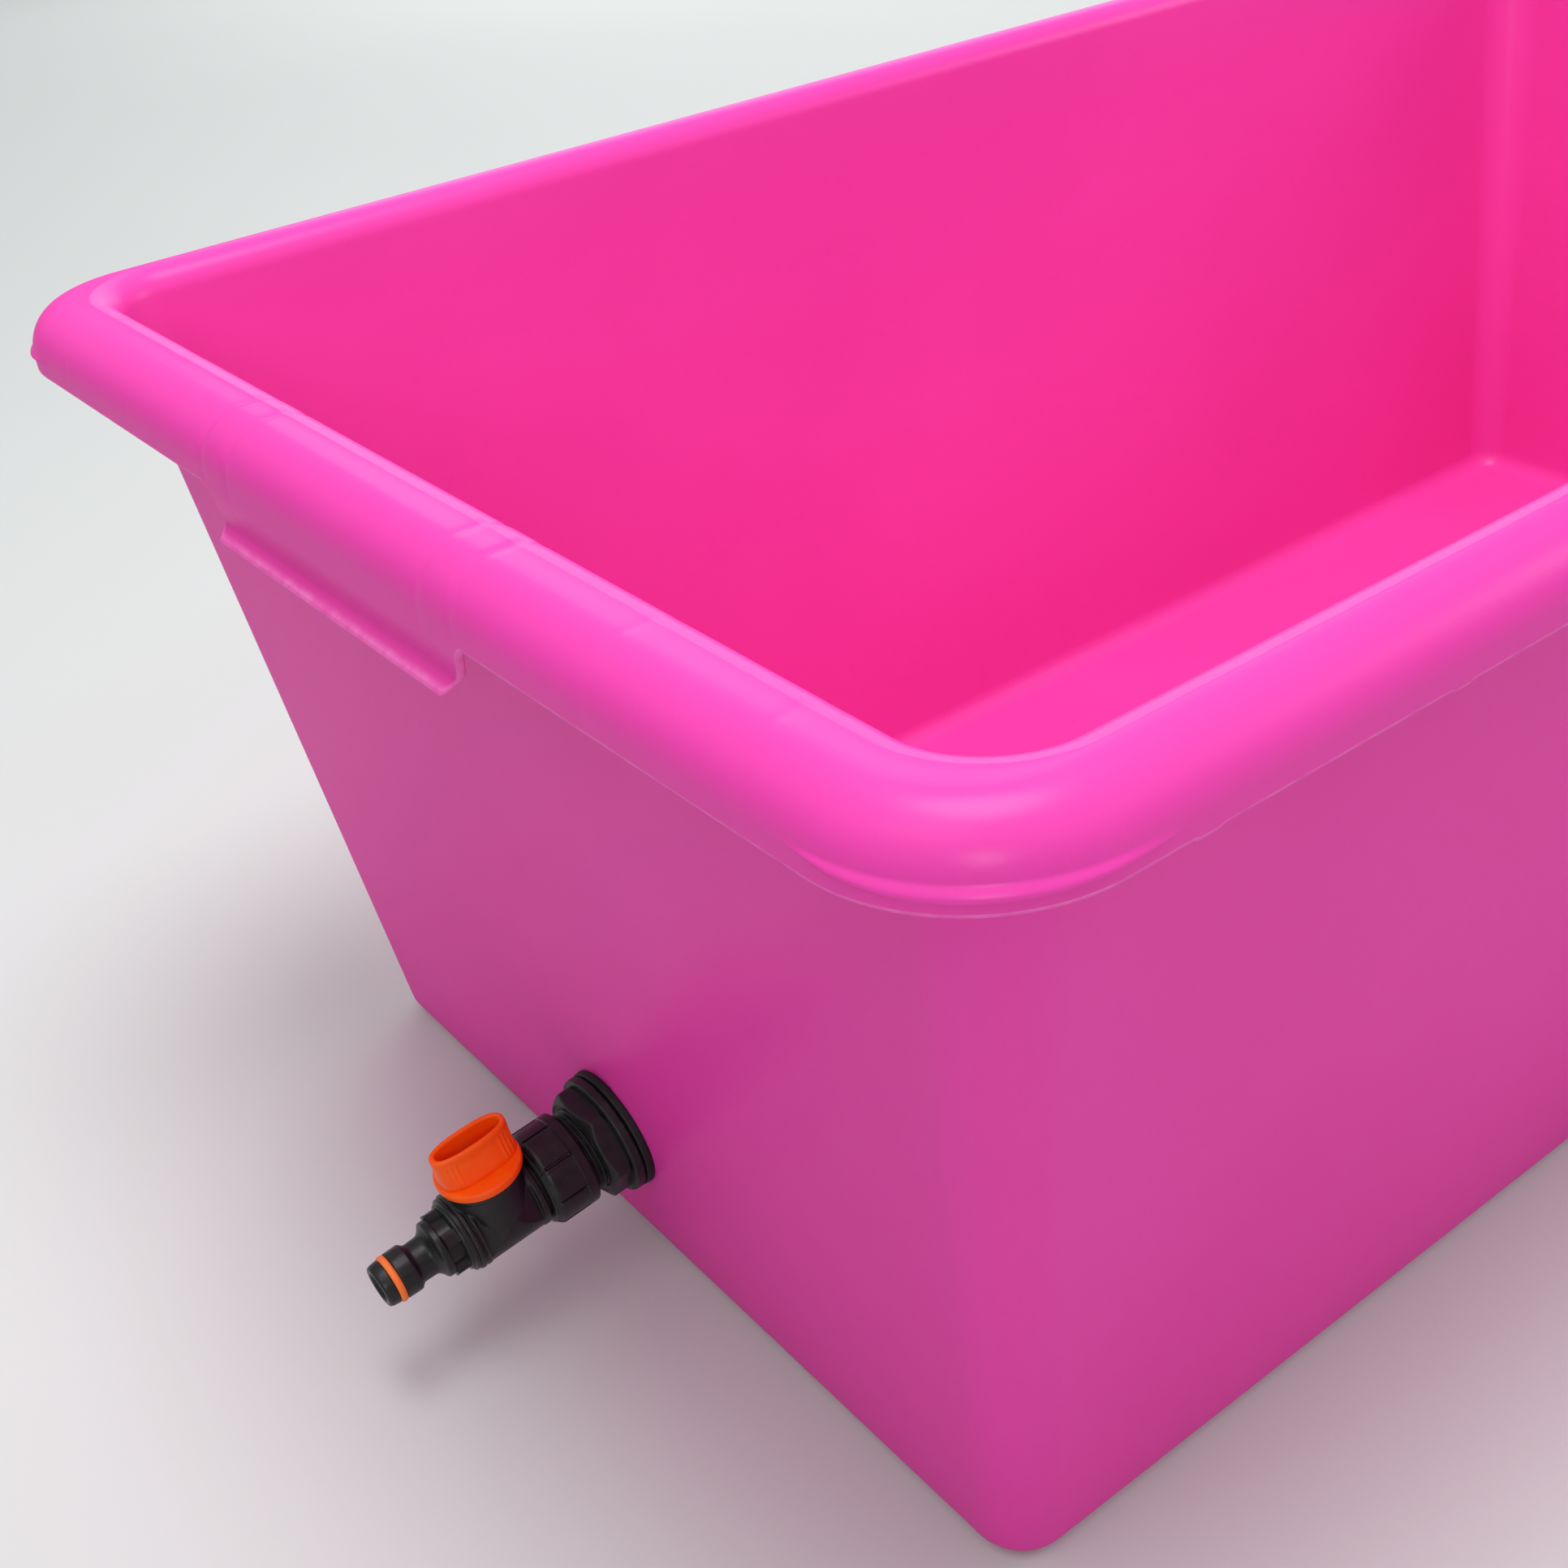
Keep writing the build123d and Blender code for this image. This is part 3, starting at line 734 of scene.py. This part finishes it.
def nose_ring():
    """Orange o-ring in its groove, a little squared by the groove."""
    section = []
    for step in range(20):
        angle = 2 * pi * step / 20
        section.append((124.0 + 1.72 * cos(angle), 10.42 + 1.4 * sin(angle), 0))
    return turned("nose_seal_ring", section, count=140)


# ------------------------------------------------------------------ materials

class Nodes:
    """Short names for building one material's nodes."""

    def __init__(self, name):
        self.material = bpy.data.materials.new(name)
        self.material.use_nodes = True
        self.tree = self.material.node_tree
        self.shader = self.tree.nodes["Principled BSDF"]
        coordinates = self.tree.nodes.new("ShaderNodeTexCoord")
        self.place = coordinates.outputs["Object"]

    def link(self, start, end):
        self.tree.links.new(start, end)

    def noise(self, scale, detail=3.0, roughness=0.55, stretch=None):
        node = self.tree.nodes.new("ShaderNodeTexNoise")
        node.inputs["Scale"].default_value = scale
        node.inputs["Detail"].default_value = detail
        node.inputs["Roughness"].default_value = roughness
        source = self.place
        if stretch:
            mapping = self.tree.nodes.new("ShaderNodeMapping")
            mapping.inputs["Scale"].default_value = stretch
            self.link(source, mapping.inputs["Vector"])
            source = mapping.outputs["Vector"]
        self.link(source, node.inputs["Vector"])
        return node.outputs["Fac"]

    def ramp(self, source, stops):
        node = self.tree.nodes.new("ShaderNodeValToRGB")
        ramp = node.color_ramp
        while len(ramp.elements) < len(stops):
            ramp.elements.new(0.5)
        for element, (place, colour) in zip(ramp.elements, stops):
            element.position = place
            element.color = (*colour, 1.0)
        self.link(source, node.inputs["Fac"])
        return node.outputs["Color"]

    def levels(self, source, low, high, out_low, out_high):
        node = self.tree.nodes.new("ShaderNodeMapRange")
        node.inputs["From Min"].default_value = low
        node.inputs["From Max"].default_value = high
        node.inputs["To Min"].default_value = out_low
        node.inputs["To Max"].default_value = out_high
        self.link(source, node.inputs["Value"])
        return node.outputs["Result"]

    def mix(self, share, first, second):
        node = self.tree.nodes.new("ShaderNodeMix")
        node.data_type = "RGBA"
        self.link(share, node.inputs["Factor"])
        for value, socket in ((first, node.inputs["A"]), (second, node.inputs["B"])):
            if isinstance(value, tuple):
                socket.default_value = (*value, 1.0)
            else:
                self.link(value, socket)
        return node.outputs["Result"]

    def math(self, operation, first, second):
        node = self.tree.nodes.new("ShaderNodeMath")
        node.operation = operation
        node.use_clamp = operation == "ADD"
        for value, socket in ((first, node.inputs[0]), (second, node.inputs[1])):
            if isinstance(value, (int, float)):
                socket.default_value = value
            else:
                self.link(value, socket)
        return node.outputs["Value"]

    def mask(self, name):
        node = self.tree.nodes.new("ShaderNodeAttribute")
        node.attribute_name = name
        return node.outputs["Fac"]

    def bumps(self, layers):
        """Bump from (height, distance, strength) layers, the first one deepest."""
        normal = None
        for height, distance, strength in layers:
            node = self.tree.nodes.new("ShaderNodeBump")
            node.inputs["Distance"].default_value = distance
            node.inputs["Strength"].default_value = strength
            self.link(height, node.inputs["Height"])
            if normal:
                self.link(normal, node.inputs["Normal"])
            normal = node.outputs["Normal"]
        self.link(normal, self.shader.inputs["Normal"])

    def set(self, **values):
        for key, value in values.items():
            self.shader.inputs[key.replace("_", " ")].default_value = value


def pink_polyethylene():
    """Semi-matt moulded polyethylene: fine grain, faint flow marks, pale stressed edges."""
    n = Nodes("pink_polyethylene_moulded")
    cloud = n.noise(3.2, 4, 0.5)
    base = n.ramp(cloud, [(0.35, (0.81, 0.050, 0.385)), (0.65, (0.85, 0.060, 0.415))])
    speckle = n.noise(2400, 2, 0.6)
    base = n.mix(n.levels(speckle, 0.35, 0.7, 0.0, 0.10), base, (0.92, 0.12, 0.53))
    scuffs = n.noise(26, 6, 0.72, (1.0, 1.0, 5.0))
    scuff_share = n.levels(scuffs, 0.66, 0.80, 0.0, 0.07)
    base = n.mix(scuff_share, base, (0.92, 0.26, 0.60))
    edge_noise = n.levels(n.noise(120, 4, 0.6), 0.3, 0.7, 0.15, 0.75)
    base = n.mix(n.math("MULTIPLY", n.mask("wear"), edge_noise), base, (0.95, 0.40, 0.74))
    n.link(base, n.shader.inputs["Base Color"])
    rough = n.levels(n.noise(9, 5, 0.6), 0.3, 0.7, 0.36, 0.46)
    n.link(n.math("ADD", rough, scuff_share), n.shader.inputs["Roughness"])
    n.bumps([
        (n.noise(5.5, 2, 0.4), 0.006, 0.16),
        (n.noise(38, 3, 0.5), 0.0008, 0.12),
        (n.noise(900, 2, 0.6), 0.00009, 0.35),
        (speckle, 0.00003, 0.30),
    ])
    n.set(IOR=1.50, Specular_IOR_Level=0.0, Coat_Weight=0.38, Coat_Roughness=0.30, Coat_IOR=1.5)
    return n.material


def moulded_black(name, shade, rough, grain=1500):
    """Matt black moulding: fine spark grain, dust and paler rubbed patches."""
    n = Nodes(name)
    patches = n.noise(160, 5, 0.62)
    dark = (shade * 0.75, shade * 0.78, shade * 0.80)
    pale = (shade * 1.7, shade * 1.75, shade * 1.8)
    base = n.ramp(patches, [(0.35, dark), (0.72, pale)])
    dust = n.noise(900, 3, 0.7)
    base = n.mix(n.levels(dust, 0.66, 0.82, 0.0, 0.35), base, (0.16, 0.155, 0.15))
    n.link(base, n.shader.inputs["Base Color"])
    n.link(n.levels(patches, 0.3, 0.75, rough - 0.06, rough + 0.10), n.shader.inputs["Roughness"])
    n.bumps([
        (n.noise(120, 3, 0.5), 0.0003, 0.15),
        (n.noise(grain, 3, 0.65), 0.00006, 0.55),
    ])
    n.set(IOR=1.50, Specular_IOR_Level=0.38)
    return n.material


def orange_moulding(name, deep, bright, rough, grain):
    """Bright moulded orange, a little paler and yellower in patches."""
    n = Nodes(name)
    patches = n.noise(110, 4, 0.55)
    base = n.ramp(patches, [(0.3, deep), (0.75, bright)])
    n.link(base, n.shader.inputs["Base Color"])
    n.link(n.levels(patches, 0.3, 0.7, rough - 0.04, rough + 0.06), n.shader.inputs["Roughness"])
    n.bumps([
        (n.noise(90, 3, 0.5), 0.0003, 0.10),
        (n.noise(grain, 2, 0.6), 0.00005, 0.30),
    ])
    n.set(IOR=1.49, Specular_IOR_Level=0.26)
    return n.material


def plain_moulding(name, first, second, rough, metallic=0.0, stretch=None):
    n = Nodes(name)
    patches = n.noise(240, 4, 0.6, stretch)
    n.link(n.ramp(patches, [(0.3, first), (0.7, second)]), n.shader.inputs["Base Color"])
    n.link(n.levels(patches, 0.3, 0.7, rough - 0.04, rough + 0.08), n.shader.inputs["Roughness"])
    n.bumps([(n.noise(1300, 3, 0.6, stretch), 0.00004, 0.35)])
    n.set(Metallic=metallic)
    return n.material


def pale_floor():
    n = Nodes("studio_floor")
    base = n.ramp(n.noise(0.7, 2, 0.5), [(0.3, (0.63, 0.65, 0.64)), (0.7, (0.655, 0.675, 0.665))])
    n.link(base, n.shader.inputs["Base Color"])
    n.set(Roughness=0.8, Specular_IOR_Level=0.2)
    return n.material


# ------------------------------------------------------------------ assembly

def place(piece, body, slot, material, *nodes):
    piece.data.materials.clear()
    piece.data.materials.append(material)
    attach(piece, body)
    if nodes:
        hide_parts(*nodes)


def dress(material, *nodes):
    """Gives carried-over CAD nodes their material."""
    for name in nodes:
        data = frame["nodes"][name].data
        data.materials.clear()
        data.materials.append(material)


def build():
    pink = pink_polyethylene()
    black = moulded_black("black_nylon_matt", 0.0085, 0.44)
    black_soft = moulded_black("black_nylon_satin", 0.0075, 0.36, 1900)
    rubber = moulded_black("black_rubber_gasket", 0.0065, 0.58, 700)
    orange = orange_moulding("orange_plastic_grip", (1.0, 0.085, 0.0), (1.0, 0.125, 0.001), 0.36, 1500)
    seal = orange_moulding("orange_rubber_seal", (0.92, 0.19, 0.035), (0.96, 0.25, 0.055), 0.48, 900)
    seats = plain_moulding("white_ptfe_seat", (0.80, 0.80, 0.77), (0.86, 0.86, 0.84), 0.35)
    acetal = plain_moulding("grey_acetal_ball", (0.50, 0.51, 0.53), (0.58, 0.59, 0.61), 0.18)
    steel = plain_moulding("stainless_steel_screw", (0.52, 0.52, 0.53), (0.66, 0.66, 0.66), 0.30,
                           metallic=1.0, stretch=(1, 1, 9))
    tub = tub_mesh()
    hole = [(-14, 0, 0), (-14, WALL_HOLE_RADIUS, 0), (8, WALL_HOLE_RADIUS, 0), (8, 0, 0)]
    combine(tub, turned("wall_hole", hole, count=96), "DIFFERENCE")
    place(tub, "tub", "pink_polyethylene", pink, "tub_shell")
    place(bulkhead_fitting(), "tub", "black_nylon", black, "bulkhead_body")
    place(gasket("wall_gasket_inner", -7.5, -5, 21.0, 29.5), "tub", "black_rubber", rubber, "inner_gasket")
    place(gasket("wall_gasket_outer", 0, 4, 21.0, 30.8), "tub", "black_rubber", rubber, "outer_gasket")
    place(hex_nut(), "tub", "black_nylon", black, "bulkhead_nut")
    place(union_nut(), "union_nut", "black_nylon", black_soft, "union_nut")
    place(valve_casing(), "valve", "black_nylon", black_soft, "valve_body")
    place(hose_nipple(), "valve", "black_nylon", black_soft, "hose_nipple")
    place(nose_ring(), "valve", "orange_rubber", seal, "nose_o_ring")
    place(valve_knob(), "knob", "orange_plastic", orange, "valve_knob")
    dress(black_soft, "inlet_tail", "valve_stem")
    dress(rubber, "union_washer", "tail_o_ring", "nipple_seal", "lower_stem_o_ring", "upper_stem_o_ring")
    dress(seats, "inlet_seat", "outlet_seat")
    dress(acetal, "valve_ball")
    dress(steel, "knob_screw")


# Each soft light: place, what it faces, diameter, power in watts. Metres.
SOFT_LIGHTS = {
    "overhead": ((-0.25, -0.1, 2.9), (0.0, 0.0, 0.3), 1.6, 48),
    "high_left": ((-1.7, -0.5, 2.4), (-0.2, 0.0, 0.35), 1.4, 6),
    "back": ((2.5, 3.5, 1.7), (0.0, 0.0, 0.4), 3.8, 68),
    "right": ((2.8, -1.6, 1.7), (0.0, -0.3, 0.4), 1.4, 20),
    "front_left": ((-2.2, -2.6, 1.6), (-0.4, -0.2, 0.35), 0.9, 17),
}
SKY_AT_HORIZON = 0.12
SKY_OVERHEAD = 0.80

# The camera's place and the directions of its picture's right, down and forward, in metres.
CAMERA_PLACE = (-0.84136, -0.64026, 0.69642)
CAMERA_RIGHT = Vector((0.78946, -0.60692, -0.09168))
CAMERA_DOWN = Vector((-0.38427, -0.37222, -0.84486))
CAMERA_FORWARD = Vector((0.47863, 0.70221, -0.52708))
CAMERA_LENS = 45.107


def studio():
    """Pale floor, soft lights and the camera."""
    scene = bpy.context.scene
    bpy.ops.mesh.primitive_plane_add(size=40, location=(0, 0, 0))
    floor = bpy.context.object
    floor.name = "studio_floor"
    floor.data.materials.append(pale_floor())
    scene.world = sky_light()
    for name, (where, target, size, power) in SOFT_LIGHTS.items():
        soft_light(name, where, target, size, power)
    scene.view_settings.view_transform = "Standard"
    scene.view_settings.look = "None"
    camera_data = bpy.data.cameras.new("camera")
    camera = bpy.data.objects.new("camera", camera_data)
    scene.collection.objects.link(camera)
    camera_data.sensor_width = 36
    camera_data.lens = CAMERA_LENS
    camera_data.clip_start = 0.01
    camera_data.clip_end = 60
    turn = Matrix((CAMERA_RIGHT, -CAMERA_DOWN, -CAMERA_FORWARD)).transposed().to_4x4()
    camera.matrix_world = Matrix.Translation(CAMERA_PLACE) @ turn
    scene.camera = camera


def sky_light():
    """Soft light from all round, brightest straight above."""
    world = bpy.data.worlds.new("studio_sky")
    world.use_nodes = True
    nodes = world.node_tree.nodes
    links = world.node_tree.links
    direction = nodes.new("ShaderNodeTexCoord")
    split = nodes.new("ShaderNodeSeparateXYZ")
    level = nodes.new("ShaderNodeMapRange")
    links.new(direction.outputs["Generated"], split.inputs["Vector"])
    links.new(split.outputs["Z"], level.inputs["Value"])
    level.inputs["From Min"].default_value = 0.0
    level.inputs["From Max"].default_value = 1.0
    level.inputs["To Min"].default_value = SKY_AT_HORIZON
    level.inputs["To Max"].default_value = SKY_OVERHEAD
    background = nodes["Background"]
    background.inputs["Color"].default_value = (0.97, 0.98, 1.0, 1)
    links.new(level.outputs["Result"], background.inputs["Strength"])
    return world


def soft_light(name, where, target, size, power):
    light = bpy.data.lights.new(name, "AREA")
    light.shape = "DISK"
    light.size = size
    light.energy = power
    lamp = bpy.data.objects.new(name, light)
    bpy.context.scene.collection.objects.link(lamp)
    lamp.location = where
    aim = Vector(target) - Vector(where)
    lamp.rotation_euler = aim.to_track_quat("-Z", "Y").to_euler()


build()
studio()
